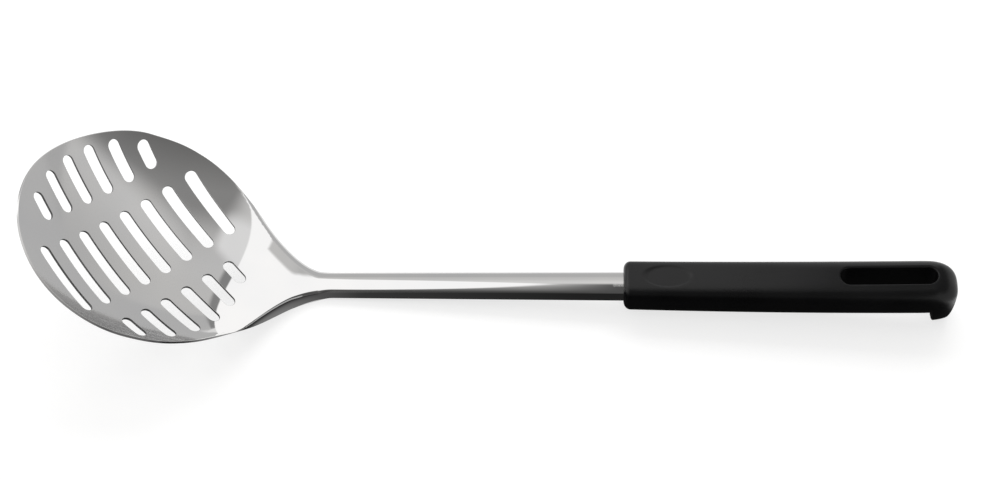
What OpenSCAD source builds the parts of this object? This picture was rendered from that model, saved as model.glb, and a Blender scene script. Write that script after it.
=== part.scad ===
// Slotted kitchen spoon: a stamped steel sheet that is bowl, neck, shank and tang in one,
// and a moulded handle with a thumb rest, a hanging slot and a hook. It lies as it comes to rest.

/* [Steel sheet] */
// Thickness of the sheet
sheet_t = 1; // [0.8:0.1:1.4]

/* [Bowl] */
// Width of the bowl at its widest, along the middle of the sheet
bowl_w = 86.6; // [76:0.2:96]
// Length of the floor from the tip to the middle of the slots
bowl_front = 49; // [45:0.5:54]
// How far before the middle of the slots the bowl is widest
widest_at = 3.2; // [0:0.2:6]
// Roundness of the tip, where 2 is an ellipse and less is more pointed
tip_power = 1.86; // [1.7:0.02:2.3]
// Slope of the floor at the middle of the slots, against the shank
bowl_rise = 28.1; // [24:0.1:32]
// Radius of the floor lengthways, from the slots to the tip
tip_r = 86.5; // [70:0.5:110]
// Radius of the floor lengthways, from the slots to the neck
heel_r = 94.5; // [80:0.5:115]
// Radius of the floor across its middle
floor_r = 140; // [110:1:200]
// Height that the sides turn up at the rim, beyond that radius
rim_lift = 5.3; // [3:0.1:7]

/* [Slots] */
// Width of a slot
slot_w = 4.35; // [3:0.05:5]
// Distance between neighbouring slots
slot_pitch = 9.8; // [8.5:0.1:10.4]
// Angle of the slots to the length of the spoon
slot_angle = 45; // [35:1:55]
// Length of the slots in the middle row
slot_len = 28.8; // [22:0.1:31]
// Metal left between the rows
row_gap = 7.95; // [6:0.05:10]
// Metal left between the slots and the rim at the bowl's widest
rim_land = 2.4; // [1.8:0.1:6]

/* [Neck and shank] */
// Slope of the neck against the shank
neck_rise = 16.6; // [12:0.1:20]
// Length of the straight part of the neck
neck_len = 41; // [36:0.5:48]
// Radius of the bend between neck and shank
bend_r = 35; // [25:1:50]
// From the middle of the slots to where the floor flattens and its edges turn down
turn_start = 30; // [27:0.5:34]
// From the middle of the slots to where the floor is flat
flat_at = 56; // [50:0.5:60]
// From the middle of the slots to where the edges are turned down in full
turn_full = 62; // [58:0.5:68]
// From the middle of the slots to where the neck is as narrow as the shank
neck_end = 73.6; // [70:0.2:80]
// Fullness of the bowl's shoulders
shoulder_power = 2.85; // [2.4:0.05:3.2]
// Sharpness of the taper into the shank
taper_power = 2.3; // [2:0.05:2.6]
// Radius of the turned-down edges, along the middle of the sheet
turn_r = 4.85; // [4.2:0.05:6]
// Straight drop of the edges below that radius
edge_drop = 1.3; // [0.5:0.1:3]
// Outer width of the shank at the neck
shank_w_neck = 9.6; // [8.6:0.1:12]
// Outer width of the shank at the handle
shank_w_handle = 10.8; // [9.6:0.1:12.4]
// Length of the straight shank, from the bend to the handle
shank_len = 111.1; // [90:0.1:130]
// Length of the tang inside the handle
tang_len = 62; // [40:1:70]

/* [Handle] */
// Length of the handle
handle_len = 122.2; // [110:0.2:140]
// Width of the handle at its front
handle_w_front = 15.9; // [14.5:0.1:20]
// Width of the handle at its rear
handle_w_rear = 18.5; // [17:0.1:23]
// Thickness of the handle at its front
handle_t_front = 13.8; // [13:0.1:17]
// Thickness of the handle at its rear
handle_t_rear = 17.6; // [13:0.1:19]
// Squareness of the handle's section at its front, where 2 is an ellipse
power_front = 4; // [3:0.1:5]
// Squareness of the handle's section at its rear
power_rear = 2.4; // [2.2:0.1:4]
// Squareness of the rear end in plan
power_plan = 3; // [2:0.1:4]
// Height of the shank's crown, along the middle of the sheet, above the level of the grip
crown_h = 4.35; // [3.8:0.05:4.8]
// Height of the handle's centre line at its front above the level of the grip
handle_rise = 0.5; // [0:0.05:1]
// How much lower the handle's centre line lies at its rear than at its front
handle_droop = 0.7; // [0:0.05:1.5]
// How much the handle's centre line sags halfway
handle_sag = 0.8; // [0:0.05:1.2]
// Rounding of the front edges
front_round = 2.5; // [1:0.1:3.5]
// Length over which the rear is rounded in plan
rear_round = 15; // [11:0.5:20]
// Length over which the rear is rounded at its top
top_round = 10; // [5:0.5:12]
// Clearance between the tang and its socket
tang_gap = 0.1; // [0.05:0.05:0.3]

/* [Hook and hanging slot] */
// Drop of the hook below the handle
hook_drop = 7.7; // [6:0.1:10]
// Length of the hook at its root
hook_len = 9.8; // [8:0.1:12]
// Length over which the hook's inner face slopes
hook_face = 1.2; // [0.8:0.1:2.5]
// Length over which the hook is rounded at its lower rear
hook_round = 3; // [2:0.1:5]
// Width of the hanging slot
hang_w = 6.9; // [5:0.1:8]
// Length of the hanging slot
hang_len = 35.1; // [20:0.1:44]
// Material between the hanging slot and the rear end
hang_wall = 8; // [6:0.1:10]
// Width of the bevel round the hanging slot
hang_bevel = 0.7; // [0.3:0.1:1.2]

/* [Thumb rest] */
// Length of the thumb rest
thumb_len = 19; // [14:0.5:24]
// Width of the thumb rest
thumb_w = 10; // [7:0.5:12]
// Depth of the thumb rest
thumb_depth = 0.6; // [0.3:0.1:1.1]
// From the front of the handle to the middle of the thumb rest
thumb_at = 16.2; // [14:0.2:24]

/* [Hidden] */

// Steps of the sheet's surface: across each half, along the tip and along the shoulders and neck
half_steps = 13;
tip_steps = 17;
neck_steps = 30;
shank_steps = 3;
// Angle of the first cross-section at the tip, where 90 is the widest one
tip_start_angle = 4;
// Points round the handle, and its cross-sections at the front, body, hook face and rear
ring_points = 36;
front_rings = 5;
body_rings = 8;
face_rings = 4;
rear_rings = 14;
// Share of the rear's rounding at its last cross-section
rear_last = 0.998;
// Smallest share of a turned edge's radius that stays flat on the crown
least_flat = 0.2;
// Room by which cutting shapes run past the surfaces they cut
over = 1;
// Half depth of the slot cutters
cut_half = 26;
// Height of the ellipsoid that cuts the thumb rest
thumb_ball_h = 3;
// Facets of round cutters
$fn = 40;

// Degrees that an arc of a given length turns
function turn(len, r) = len / r * 180 / PI;
// Length of an arc of a given turn
function arc_len(deg, r) = deg * PI / 180 * r;
// Smooth step from 0 to 1
function ease(u) = let (c = max(0, min(1, u))) c * c * (3 - 2 * c);
function lerp(a, b, u) = a + (b - a) * u;

// The floor line runs along the middle of the sheet. Its length is counted from the middle
// of the slots, negative towards the tip.
heel_end = arc_len(bowl_rise - neck_rise, heel_r);
ramp_end = heel_end + neck_len;
bend_end = ramp_end + arc_len(neck_rise, bend_r);
handle_at = bend_end + shank_len;
tang_end = handle_at + tang_len;
tip_s = -bowl_front;
wide_s = -widest_at;

// Slope of the floor line, positive where it falls towards the handle
function slope(s) =
    s < 0 ? bowl_rise - turn(s, tip_r)
    : s < heel_end ? bowl_rise - turn(s, heel_r)
    : s < ramp_end ? neck_rise
    : s < bend_end ? neck_rise - turn(s - ramp_end, bend_r)
    : 0;

// Corners of the floor line, with the end of the bend at x = 0
ramp_low = [-bend_r * sin(neck_rise), crown_h + bend_r * (1 - cos(neck_rise))];
ramp_high = ramp_low + neck_len * [-cos(neck_rise), sin(neck_rise)];
slots_mid = ramp_high + heel_r * [sin(neck_rise) - sin(bowl_rise), cos(neck_rise) - cos(bowl_rise)];

// Place of the floor line, as x and z
function floor_at(s) =
    let (a = slope(s))
    s < 0 ? slots_mid + tip_r * [sin(bowl_rise) - sin(a), cos(bowl_rise) - cos(a)]
    : s < heel_end ? ramp_high + heel_r * [sin(neck_rise) - sin(a), cos(neck_rise) - cos(a)]
    : s < ramp_end ? ramp_low + (ramp_end - s) * [-cos(neck_rise), sin(neck_rise)]
    : s < bend_end ? [-bend_r * sin(a), crown_h + bend_r * (1 - cos(a))]
    : [s - bend_end, crown_h];

// Half width of the shank along the middle of the sheet
function shank_half(s) =
    (lerp(shank_w_neck, shank_w_handle, max(0, min(1, (s - neck_end) / (handle_at - neck_end))))
        - sheet_t) / 2;

// Half width of the sheet, from the tip over the widest place to the shank
function half_width(s) =
    s < wide_s
    ? bowl_w / 2 * sqrt(max(0, 1 - pow(min(1, (wide_s - s) / (wide_s - tip_s)), tip_power)))
    : let (u = min(1, (s - wide_s) / (neck_end - wide_s)), end_half = (shank_w_neck - sheet_t) / 2)
        shank_half(s) + (bowl_w / 2 - end_half) * pow(1 - pow(u, shoulder_power), taper_power);

// Share of the bowl's hollow, and share of the edges' turn, that a cross-section has
function hollow(s) = 1 - ease((s - turn_start) / (flat_at - turn_start));
function turned(s) = ease((s - turn_start) / (turn_full - turn_start));

// Height of the hollow at a distance y from the floor line
function dish(y, share) = share * (y * y / (2 * floor_r) + rim_lift * pow(2 * y / bowl_w, 4));
function dish_slope(y, share) =
    atan(share * (y / floor_r + 8 * rim_lift / bowl_w * pow(2 * y / bowl_w, 3)));

// Point of a cross-section at a share u of its developed half, as distance across and height
function half_point(s, u) =
    let (
        share = hollow(s),
        angle = 90 * turned(s),
        half = half_width(s),
        r = min(turn_r, max(0.1, half - least_flat)),
        flat = max(0.05, half - r * sin(angle)),
        arc = arc_len(angle, r),
        drop = edge_drop * turned(s),
        q = u * (flat + arc + drop)
    )
    q <= flat ? [q, dish(q, share)]
    : let (
        start = dish_slope(flat, share),
        swept = min(angle, turn(q - flat, r)),
        past = max(0, q - flat - arc),
        lean = start - swept
    )
        [
            flat + r * (sin(start) - sin(lean)) + past * cos(lean),
            dish(flat, share) + r * (cos(lean) - cos(start)) + past * sin(lean)
        ];

// Point of the middle surface at floor length s and share u across, from -1 to 1
function sheet_point(s, u) =
    let (p = half_point(s, abs(u)), f = floor_at(s), a = slope(s))
    [f[0] + sin(a) * p[1], sign(u) * p[0], f[1] + cos(a) * p[1]];

// Cross-sections of the sheet, from the tip to the end of the tang
stations = concat(
    [for (i = [0:tip_steps - 1])
        tip_s + (wide_s - tip_s) * (1 - cos(lerp(tip_start_angle, 90, i / tip_steps)))],
    [for (i = [0:neck_steps - 1]) lerp(wide_s, neck_end, i / neck_steps)],
    [for (i = [0:shank_steps - 1]) lerp(neck_end, handle_at, i / shank_steps)],
    [handle_at, tang_end]
);
rows = len(stations);
cols = 2 * half_steps + 1;
middle = [for (s = stations) [for (j = [-half_steps:half_steps]) sheet_point(s, j / half_steps)]];

// Upward normal of the middle surface, from its neighbours
function sheet_normal(i, j) =
    let (
        along = middle[min(rows - 1, i + 1)][j] - middle[max(0, i - 1)][j],
        across = middle[i][min(cols - 1, j + 1)] - middle[i][max(0, j - 1)],
        n = cross(along, across)
    )
    n / norm(n);

upper = [for (i = [0:rows - 1]) for (j = [0:cols - 1]) middle[i][j] + sheet_normal(i, j) * sheet_t / 2];
lower = [for (i = [0:rows - 1]) for (j = [0:cols - 1]) middle[i][j] - sheet_normal(i, j) * sheet_t / 2];

// Two triangles of a quad whose corners go clockwise seen from outside
function quad(a, b, c, d) = [[a, b, c], [a, c, d]];

sheet_faces =
    let (n = rows * cols)
    concat(
        [for (i = [0:rows - 2]) for (j = [0:cols - 2])
            for (f = quad(i * cols + j, i * cols + j + 1, (i + 1) * cols + j + 1, (i + 1) * cols + j)) f],
        [for (i = [0:rows - 2]) for (j = [0:cols - 2])
            for (f = quad(n + i * cols + j, n + (i + 1) * cols + j,
                n + (i + 1) * cols + j + 1, n + i * cols + j + 1)) f],
        [for (i = [0:rows - 2])
            for (f = quad(i * cols, (i + 1) * cols, n + (i + 1) * cols, n + i * cols)) f],
        [for (i = [0:rows - 2]) let (e = cols - 1)
            for (f = quad(i * cols + e, n + i * cols + e, n + (i + 1) * cols + e, (i + 1) * cols + e)) f],
        [for (j = [0:cols - 2]) for (f = quad(j, n + j, n + j + 1, j + 1)) f],
        [for (j = [0:cols - 2]) let (e = (rows - 1) * cols)
            for (f = quad(e + j, e + j + 1, n + e + j + 1, n + e + j)) f]
    );

// Outline of a slot with round ends, from x0 to x1 along its length
module slot_outline(x0, x1, w) {
    translate([x0 + w / 2, -w / 2]) square([x1 - x0 - w, w]);
    translate([x0 + w / 2, 0]) circle(d = w);
    translate([x1 - w / 2, 0]) circle(d = w);
}

// Radius that the outer ends of the outer rows reach, and where those rows begin
pattern_r = bowl_w / 2 - rim_land;
inner = slot_len / 2 + row_gap;
// Each row has as many slots as the circle holds, an outer one at least twice as long as wide
function fitting(reach) = 2 * floor(reach / slot_pitch + 0.5);
middle_slots = fitting(sqrt(pattern_r * pattern_r - slot_len * slot_len / 4) - slot_w / 2);
outer_slots = fitting(sqrt(pattern_r * pattern_r - pow(inner + 2 * slot_w, 2)));

// Three rows of slots: whole ones in the middle, and outer ones that end on a circle
module slot_pattern() {
    for (i = [0:middle_slots - 1])
        translate([0, (i - (middle_slots - 1) / 2) * slot_pitch])
            slot_outline(-slot_len / 2, slot_len / 2, slot_w);
    for (i = [0:outer_slots - 1]) {
        across = (i - (outer_slots - 1) / 2) * slot_pitch;
        outer = sqrt(pattern_r * pattern_r - across * across);
        translate([0, across]) slot_outline(inner, outer, slot_w);
        translate([0, across]) slot_outline(-outer, -inner, slot_w);
    }
}

module spoon_sheet() {
    difference() {
        polyhedron(points = concat(upper, lower), faces = sheet_faces, convexity = 10);
        translate([slots_mid[0], 0, slots_mid[1]])
            rotate([0, bowl_rise, 0])
                translate([0, 0, -cut_half])
                    linear_extrude(2 * cut_half)
                        rotate(-slot_angle) slot_pattern();
    }
}

// The handle runs along x from its front
handle_x = shank_len;
handle_end = handle_x + handle_len;
hook_x = handle_end - hook_len;

// Share of the handle's length, and the height of its centre line and its thickness there
function along(x) = (x - handle_x) / handle_len;
function handle_mid(x) =
    let (u = along(x)) handle_rise - handle_droop * u - handle_sag * 4 * u * (1 - u);
function handle_t(x) = lerp(handle_t_front, handle_t_rear, along(x));
// Share that is left of a size rounded off over a length before an end
function round_off(x, end, len, power = 2) =
    let (u = max(0, min(1, 1 - (end - x) / len))) pow(max(0, 1 - pow(u, power)), 1 / power);
// Loss by the rounding of the front edges
function front_loss(x) = front_round * (1 - round_off(2 * handle_x - x, handle_x, front_round));
function handle_half_w(x) =
    lerp(handle_w_front, handle_w_rear, along(x)) / 2
        * round_off(x, handle_end, rear_round, power_plan) - front_loss(x);
function handle_up(x) = handle_t(x) / 2 * round_off(x, handle_end, top_round) - front_loss(x);
function hook_share(x) = ease((x - hook_x) / hook_face);
function handle_down(x) =
    (handle_t(x) / 2 + hook_drop * hook_share(x)) * round_off(x, handle_end, hook_round)
        - front_loss(x);

// Point of the handle's section at an angle round it
function section_point(x, angle) =
    let (
        c = cos(angle),
        s = sin(angle),
        k = 2 / lerp(power_front, power_rear, along(x)),
        up = s >= 0 ? handle_up(x) : handle_down(x)
    )
    [
        x,
        handle_half_w(x) * sign(c) * pow(abs(c), k),
        handle_mid(x) + up * sign(s) * pow(abs(s), k)
    ];

ring_x = concat(
    [for (i = [0:front_rings - 1])
        handle_x + front_round * (1 - cos(90 * i / front_rings))],
    [for (i = [0:body_rings - 1])
        lerp(handle_x + front_round, hook_x, i / body_rings)],
    [for (i = [0:face_rings - 1]) lerp(hook_x, hook_x + hook_face, i / face_rings)],
    [for (i = [0:rear_rings])
        lerp(hook_x + hook_face, handle_end, rear_last * sin(90 * i / rear_rings))]
);
rings = len(ring_x);
ring_points_all = [for (x = ring_x) for (k = [0:ring_points - 1]) section_point(x, 360 * k / ring_points)];
handle_faces =
    let (n = ring_points, last = (rings - 1) * ring_points, tips = rings * ring_points)
    concat(
        [for (i = [0:rings - 2]) for (k = [0:n - 1]) let (m = (k + 1) % n)
            for (f = quad(i * n + k, i * n + m, (i + 1) * n + m, (i + 1) * n + k)) f],
        [for (k = [0:n - 1]) [tips, (k + 1) % n, k]],
        [for (k = [0:n - 1]) [tips + 1, last + k, last + (k + 1) % n]]
    );
handle_points = concat(
    ring_points_all,
    [[ring_x[0], 0, handle_mid(ring_x[0])], [ring_x[rings - 1], 0, handle_mid(ring_x[rings - 1])]]
);

// Outline of the tang's section with room round it, as distance across and height
function socket_outline(room) =
    let (
        out = [for (j = [-half_steps:half_steps]) half_side(j / half_steps, sheet_t / 2 + room)],
        inn = [for (j = [-half_steps:half_steps]) half_side(j / half_steps, -sheet_t / 2 - room)],
        low = [0, -room]
    )
    concat(
        [out[0] + low], out, [out[cols - 1] + low, inn[cols - 1] + low],
        [for (j = [cols - 1:-1:0]) inn[j]], [inn[0] + low]
    );
function half_side(u, off) =
    let (
        p = sheet_point(tang_end, u),
        step = 0.5 / half_steps,
        a = sheet_point(tang_end, max(-1, u - step)),
        b = sheet_point(tang_end, min(1, u + step)),
        d = [b[1] - a[1], b[2] - a[2]] / norm([b[1] - a[1], b[2] - a[2]])
    )
    [p[1] - d[1] * off, p[2] + d[0] * off];

module tang_socket() {
    translate([handle_x - over, 0, 0])
        rotate([90, 0, 90])
            linear_extrude(tang_len + over + tang_gap)
                polygon(socket_outline(tang_gap));
}

module hanging_slot() {
    rear = handle_end - hang_wall;
    top = handle_mid(rear) + handle_t(rear) / 2;
    bottom = handle_mid(rear) - handle_t(rear) / 2 - hook_drop;
    translate([0, 0, bottom - over])
        linear_extrude(top - bottom + 2 * over)
            slot_outline(rear - hang_len, rear, hang_w);
    hull() {
        translate([0, 0, top - hang_bevel])
            linear_extrude(0.01) slot_outline(rear - hang_len, rear, hang_w);
        translate([0, 0, top + over])
            linear_extrude(0.01)
                slot_outline(rear - hang_len - hang_bevel - over, rear + hang_bevel + over,
                    hang_w + 2 * (hang_bevel + over));
    }
}

// An ellipsoid that dips into the top by the thumb rest's depth
module thumb_cutter() {
    cap = sqrt(1 - pow(1 - thumb_depth / thumb_ball_h, 2));
    x = handle_x + thumb_at;
    translate([x, 0, handle_mid(x) + handle_t(x) / 2 + thumb_ball_h - thumb_depth])
        scale([thumb_len / 2 / cap, thumb_w / 2 / cap, thumb_ball_h]) sphere(1);
}

module moulded_handle() {
    difference() {
        polyhedron(points = handle_points, faces = handle_faces, convexity = 6);
        tang_socket();
        hanging_slot();
        thumb_cutter();
    }
}

// The spoon rests on the turned-down edges of its neck and on its hook. Each step tilts it
// until the lowest points of both, as they lie at the tilt before, are level.
sheet_points = concat(upper, lower);
function height(p, tilt) = p[0] * sin(tilt) + p[2] * cos(tilt);
function lowest(points, tilt) =
    let (heights = [for (p = points) height(p, tilt)], low = min(heights))
    [for (i = [0:len(points) - 1]) if (heights[i] == low) points[i]][0];
function settle(tilt, left) =
    left == 0 ? tilt
    : let (neck = lowest(sheet_points, tilt), hook = lowest(handle_points, tilt))
        settle(atan((neck[2] - hook[2]) / (hook[0] - neck[0])), left - 1);
rest_tilt = settle(3, 6);
all_points = concat(sheet_points, handle_points);
rest_z = min([for (p = all_points) height(p, rest_tilt)]);
rest_x = [for (p = all_points) p[0] * cos(rest_tilt) - p[2] * sin(rest_tilt)];

// Puts the spoon at rest on z = 0, with the middle of its box at x = 0
module at_rest() {
    translate([-(min(rest_x) + max(rest_x)) / 2, 0, -rest_z])
        rotate([0, -rest_tilt, 0])
            children();
}

module steel_spoon() {
    color([0.72, 0.71, 0.69]) at_rest() spoon_sheet();
}

module handle() {
    color([0.11, 0.11, 0.12]) at_rest() moulded_handle();
}

steel_spoon();
handle();
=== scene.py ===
from math import cos, pi, radians, sin, sqrt

import bpy
import numpy as np
from mathutils import Euler, Matrix, Vector
from mathutils.geometry import delaunay_2d_cdt


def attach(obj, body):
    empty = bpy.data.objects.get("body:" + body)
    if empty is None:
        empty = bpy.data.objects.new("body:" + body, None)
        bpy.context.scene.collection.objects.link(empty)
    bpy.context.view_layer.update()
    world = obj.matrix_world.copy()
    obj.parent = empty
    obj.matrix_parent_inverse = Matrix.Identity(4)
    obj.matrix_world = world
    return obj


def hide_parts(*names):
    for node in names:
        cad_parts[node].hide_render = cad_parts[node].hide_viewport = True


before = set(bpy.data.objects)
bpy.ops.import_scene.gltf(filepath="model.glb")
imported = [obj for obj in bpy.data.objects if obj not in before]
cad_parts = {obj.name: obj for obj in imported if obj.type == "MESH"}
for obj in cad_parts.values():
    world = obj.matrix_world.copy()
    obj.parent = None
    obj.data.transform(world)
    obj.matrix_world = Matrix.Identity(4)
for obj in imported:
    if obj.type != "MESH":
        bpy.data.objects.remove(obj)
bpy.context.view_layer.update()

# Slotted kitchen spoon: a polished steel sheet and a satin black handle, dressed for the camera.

MM = 0.001
WHITE = (1, 1, 1, 1)

# Measures in millimetres and degrees, as in the part's source, but for HOOK_FACE, which is longer
SHEET_T = 1.0
BOWL_W = 86.6
BOWL_FRONT = 49.0
WIDEST_AT = 3.2
TIP_POWER = 1.86
BOWL_RISE = 28.1
TIP_R = 86.5
HEEL_R = 94.5
FLOOR_R = 140.0
RIM_LIFT = 5.3
SLOT_W = 4.35
SLOT_PITCH = 9.8
SLOT_ANGLE = 45.0
SLOT_LEN = 28.8
ROW_GAP = 7.95
RIM_LAND = 2.4
MIDDLE_SLOTS = 8
OUTER_SLOTS = 6
NECK_RISE = 16.6
NECK_LEN = 41.0
BEND_R = 35.0
TURN_START = 30.0
FLAT_AT = 56.0
TURN_FULL = 62.0
NECK_END = 73.6
SHOULDER_POWER = 2.85
TAPER_POWER = 2.3
TURN_R = 4.85
EDGE_DROP = 1.3
SHANK_W_NECK = 9.6
SHANK_W_HANDLE = 10.8
SHANK_LEN = 111.1
TANG_LEN = 62.0
HANDLE_LEN = 122.2
HANDLE_W = (15.9, 18.5)
HANDLE_T = (13.8, 17.6)
SECTION_POWER = (4.0, 2.4)
PLAN_POWER = 3.0
CROWN_H = 4.35
HANDLE_RISE = 0.5
HANDLE_DROOP = 0.7
HANDLE_SAG = 0.8
FRONT_ROUND = 2.5
REAR_ROUND = 15.0
TOP_ROUND = 10.0
HOOK_DROP = 7.7
HOOK_LEN = 9.8
HOOK_FACE = 1.8
HOOK_ROUND = 3.0
HANG_W = 6.9
HANG_LEN = 35.1
HANG_WALL = 8.0
THUMB_LEN = 19.0
THUMB_W = 10.0
THUMB_DEPTH = 0.6
THUMB_AT = 16.2

# How the spoon lies: its tilt, and the shift that puts it on the floor
REST_TILT = radians(3.7813)
REST_SHIFT = (-63.8057, 0.0, 1.8715)

# Finish of the edges: the sheet's are broken, and the moulded slot has rolled rims
PUNCHED_ROUND = 0.15
SLOT_TOP_ROUND = 0.8
SLOT_UNDER_ROUND = 0.35

# Outer end and width of the thumb rest's soft rim, as squares of the share of its outline
THUMB_EDGE = 1.06
THUMB_RIM = 0.5

# Least radius of a turned-down edge and least flat beside it, where the bowl's tip leaves no room
LEAST_TURN_R = 0.1
LEAST_FLAT = 0.2

# The polished bend is eased for shading over this much on either side
BEND_EASE = 6

# Corners of the floor line, which is counted from the middle of the slots
HEEL_END = radians(BOWL_RISE - NECK_RISE) * HEEL_R
RAMP_END = HEEL_END + NECK_LEN
BEND_END = RAMP_END + radians(NECK_RISE) * BEND_R
HANDLE_AT = BEND_END + SHANK_LEN
TANG_END = HANDLE_AT + TANG_LEN
NECK_SIN, NECK_COS = sin(radians(NECK_RISE)), cos(radians(NECK_RISE))
BOWL_SIN, BOWL_COS = sin(radians(BOWL_RISE)), cos(radians(BOWL_RISE))
RAMP_LOW = np.array([-BEND_R * NECK_SIN, CROWN_H + BEND_R * (1 - NECK_COS)])
RAMP_HIGH = RAMP_LOW + NECK_LEN * np.array([-NECK_COS, NECK_SIN])
SLOTS_MID = RAMP_HIGH + HEEL_R * np.array([NECK_SIN - BOWL_SIN, NECK_COS - BOWL_COS])

# Ends of the handle, of its hook and of its hanging slot, counted from the shank's front end
HANDLE_END = SHANK_LEN + HANDLE_LEN
HOOK_X = HANDLE_END - HOOK_LEN
HANG_REAR = HANDLE_END - HANG_WALL
HANG_FRONT = HANG_REAR - HANG_LEN

# Mesh of the sheet: regular rows from JOIN_AT on, closer up to FINE_TO, and free triangles in the
# bowl. PUNCH_ROUNDS is how often a slot's outline is moved closer to its place on the sheet.
JOIN_AT = 46.0
FINE_TO = NECK_END + 4
NECK_ROWS = 48
SHANK_ROWS = 110
SHEET_COLS = 57
SIDE_POINTS = 60
TIP_POINTS = 76
FREE_PITCH = 0.95
FREE_ROW = 0.866 * FREE_PITCH
FREE_REACH = 48
FREE_FROM_RIM = 0.3
FREE_FROM_EDGE = 0.5
SLOT_ARC_STEPS = 18
OUTLINE_STEP = 0.9
PUNCH_ROUNDS = 12

# Mesh of the handle: points round it and along each zone, steps of the slot's rims, rounds that
# place these rims, and how far two zones reach past the thumb rest and stop ahead of the slot
HANDLE_COLS = 160
FRONT_POINTS = 11
THUMB_POINTS = 46
BODY_POINTS = 36
SLOT_POINTS = 40
HOOK_FACE_POINTS = 9
REAR_POINTS = 46
HANG_ARC_STEPS = 30
TOP_RIM_STEPS = 8
UNDER_RIM_STEPS = 3
RIM_ROUNDS = 6
PAST_THUMB = 2
BEFORE_SLOT = 4

# Patch of free triangles round the hanging slot: its room ahead and behind, its columns to each
# side, and the ring round the slot that is kept clear, as a share of the rim's radius and a margin
PATCH_AHEAD = 3.2
PATCH_BEHIND = 2.6
PATCH_SPREAD = int(HANDLE_COLS * 0.14)
CLEAR_SHARE = 1.25
CLEAR_MARGIN = 0.25

# The front of the bowl is satin: how much rougher it is, up to SATIN_FROM in x, and less until SATIN_TO
SATIN = 0.085
SATIN_FROM = -0.115
SATIN_TO = -0.098

# Table: half its size in metres, its tone, and the glow that brings it to white
TABLE_HALF = 2
FLOOR_TONE = 0.34
FLOOR_GLOW = 0.71

# Camera, in metres, degrees and millimetres of focal length
CAMERA_AT = (-0.00198049, -0.42018509, 0.67561273)
CAMERA_TURN = (33.3248652, -1.3145022, 1.618071)
CAMERA_LENS = 76.8054

# Light: levels of the tent from its front to its rear, its tint, and the level of its left panel
TENT_LEVELS = (
    (0.0, 0.07), (0.03, 0.16), (0.065, 0.26), (0.115, 0.36), (0.18, 0.46), (0.25, 0.60), (0.33, 0.82),
    (0.42, 0.95), (0.5, 0.99), (0.585, 0.97), (0.67, 0.92), (0.75, 0.83), (0.82, 0.76), (1.0, 0.74),
)
TENT_TINT = (1.0, 0.995, 0.985, 1)
LEFT_PANEL = 1.9

# Heights in millimetres of the lit card over the neck and of the two level shades by the handle
LIT_CARD_Z = 30
SHADE_Z = 60

# Key lamp, in metres and watts
KEY_AT = (0.0, 0.75, 0.85)
KEY_SIZE = (1.2, 0.6)
KEY_POWER = 9.0


def ease(u):
    c = np.clip(u, 0, 1)
    return c * c * (3 - 2 * c)


def turned_to_rest(vectors):
    c, s = cos(REST_TILT), sin(REST_TILT)
    x, y, z = np.moveaxis(vectors, -1, 0)
    return np.stack([x * c - z * s, y, x * s + z * c], -1)


def at_rest(points):
    """Points of the spoon in its own frame, laid on the floor, in metres."""
    return (turned_to_rest(points) + np.array(REST_SHIFT)) * MM


def unit(v):
    return v / np.maximum(np.linalg.norm(v, axis=-1, keepdims=True), 1e-12)


def add_object(name, data):
    added = bpy.data.objects.new(name, data)
    bpy.context.scene.collection.objects.link(added)
    return added


def mesh_piece(name, points, normals, faces, finishes=None):
    """A smooth mesh whose shading follows the true surface, with a finish number for each face."""
    mesh = bpy.data.meshes.new(name)
    mesh.from_pydata(at_rest(points).tolist(), [], faces)
    mesh.update()
    mesh.shade_smooth()
    if finishes is not None:
        mesh.polygons.foreach_set("material_index", finishes)
    mesh.normals_split_custom_set_from_vertices(turned_to_rest(unit(normals)).tolist())
    return add_object(name, mesh)


class Surface:
    """Points of a piece, the directions that its shading takes there, and its faces."""

    def __init__(self):
        self.points = np.zeros((0, 3))
        self.looks = np.zeros((0, 3))
        self.faces = []

    def add(self, points, looks):
        """Add points, and return their numbers."""
        first = len(self.points)
        self.points = np.concatenate([self.points, np.reshape(points, (-1, 3))])
        self.looks = np.concatenate([self.looks, np.reshape(looks, (-1, 3))])
        return list(range(first, len(self.points)))

    def add_ring_faces(self, ring, next_ring, flip=False):
        for k in range(len(ring)):
            m = (k + 1) % len(ring)
            quad = (ring[k], ring[m], next_ring[m], next_ring[k])
            self.faces.append(quad[::-1] if flip else quad)


# Steel sheet
def floor_slope(s):
    return np.radians(np.select(
        [s < 0, s < HEEL_END, s < RAMP_END, s < BEND_END],
        [BOWL_RISE - np.degrees(s / TIP_R), BOWL_RISE - np.degrees(s / HEEL_R),
         NECK_RISE, NECK_RISE - np.degrees((s - RAMP_END) / BEND_R)],
        0.0,
    ))


def floor_line(s):
    """Place of the floor line, as x and z, and its slope."""
    a = floor_slope(s)
    zones = [s < 0, s < HEEL_END, s < RAMP_END, s < BEND_END]
    x = np.select(zones, [
        SLOTS_MID[0] + TIP_R * (BOWL_SIN - np.sin(a)),
        RAMP_HIGH[0] + HEEL_R * (NECK_SIN - np.sin(a)),
        RAMP_LOW[0] - (RAMP_END - s) * NECK_COS,
        -BEND_R * np.sin(a),
    ], s - BEND_END)
    z = np.select(zones, [
        SLOTS_MID[1] + TIP_R * (BOWL_COS - np.cos(a)),
        RAMP_HIGH[1] + HEEL_R * (NECK_COS - np.cos(a)),
        RAMP_LOW[1] + (RAMP_END - s) * NECK_SIN,
        CROWN_H + BEND_R * (1 - np.cos(a)),
    ], CROWN_H)
    return x, z, a


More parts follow.
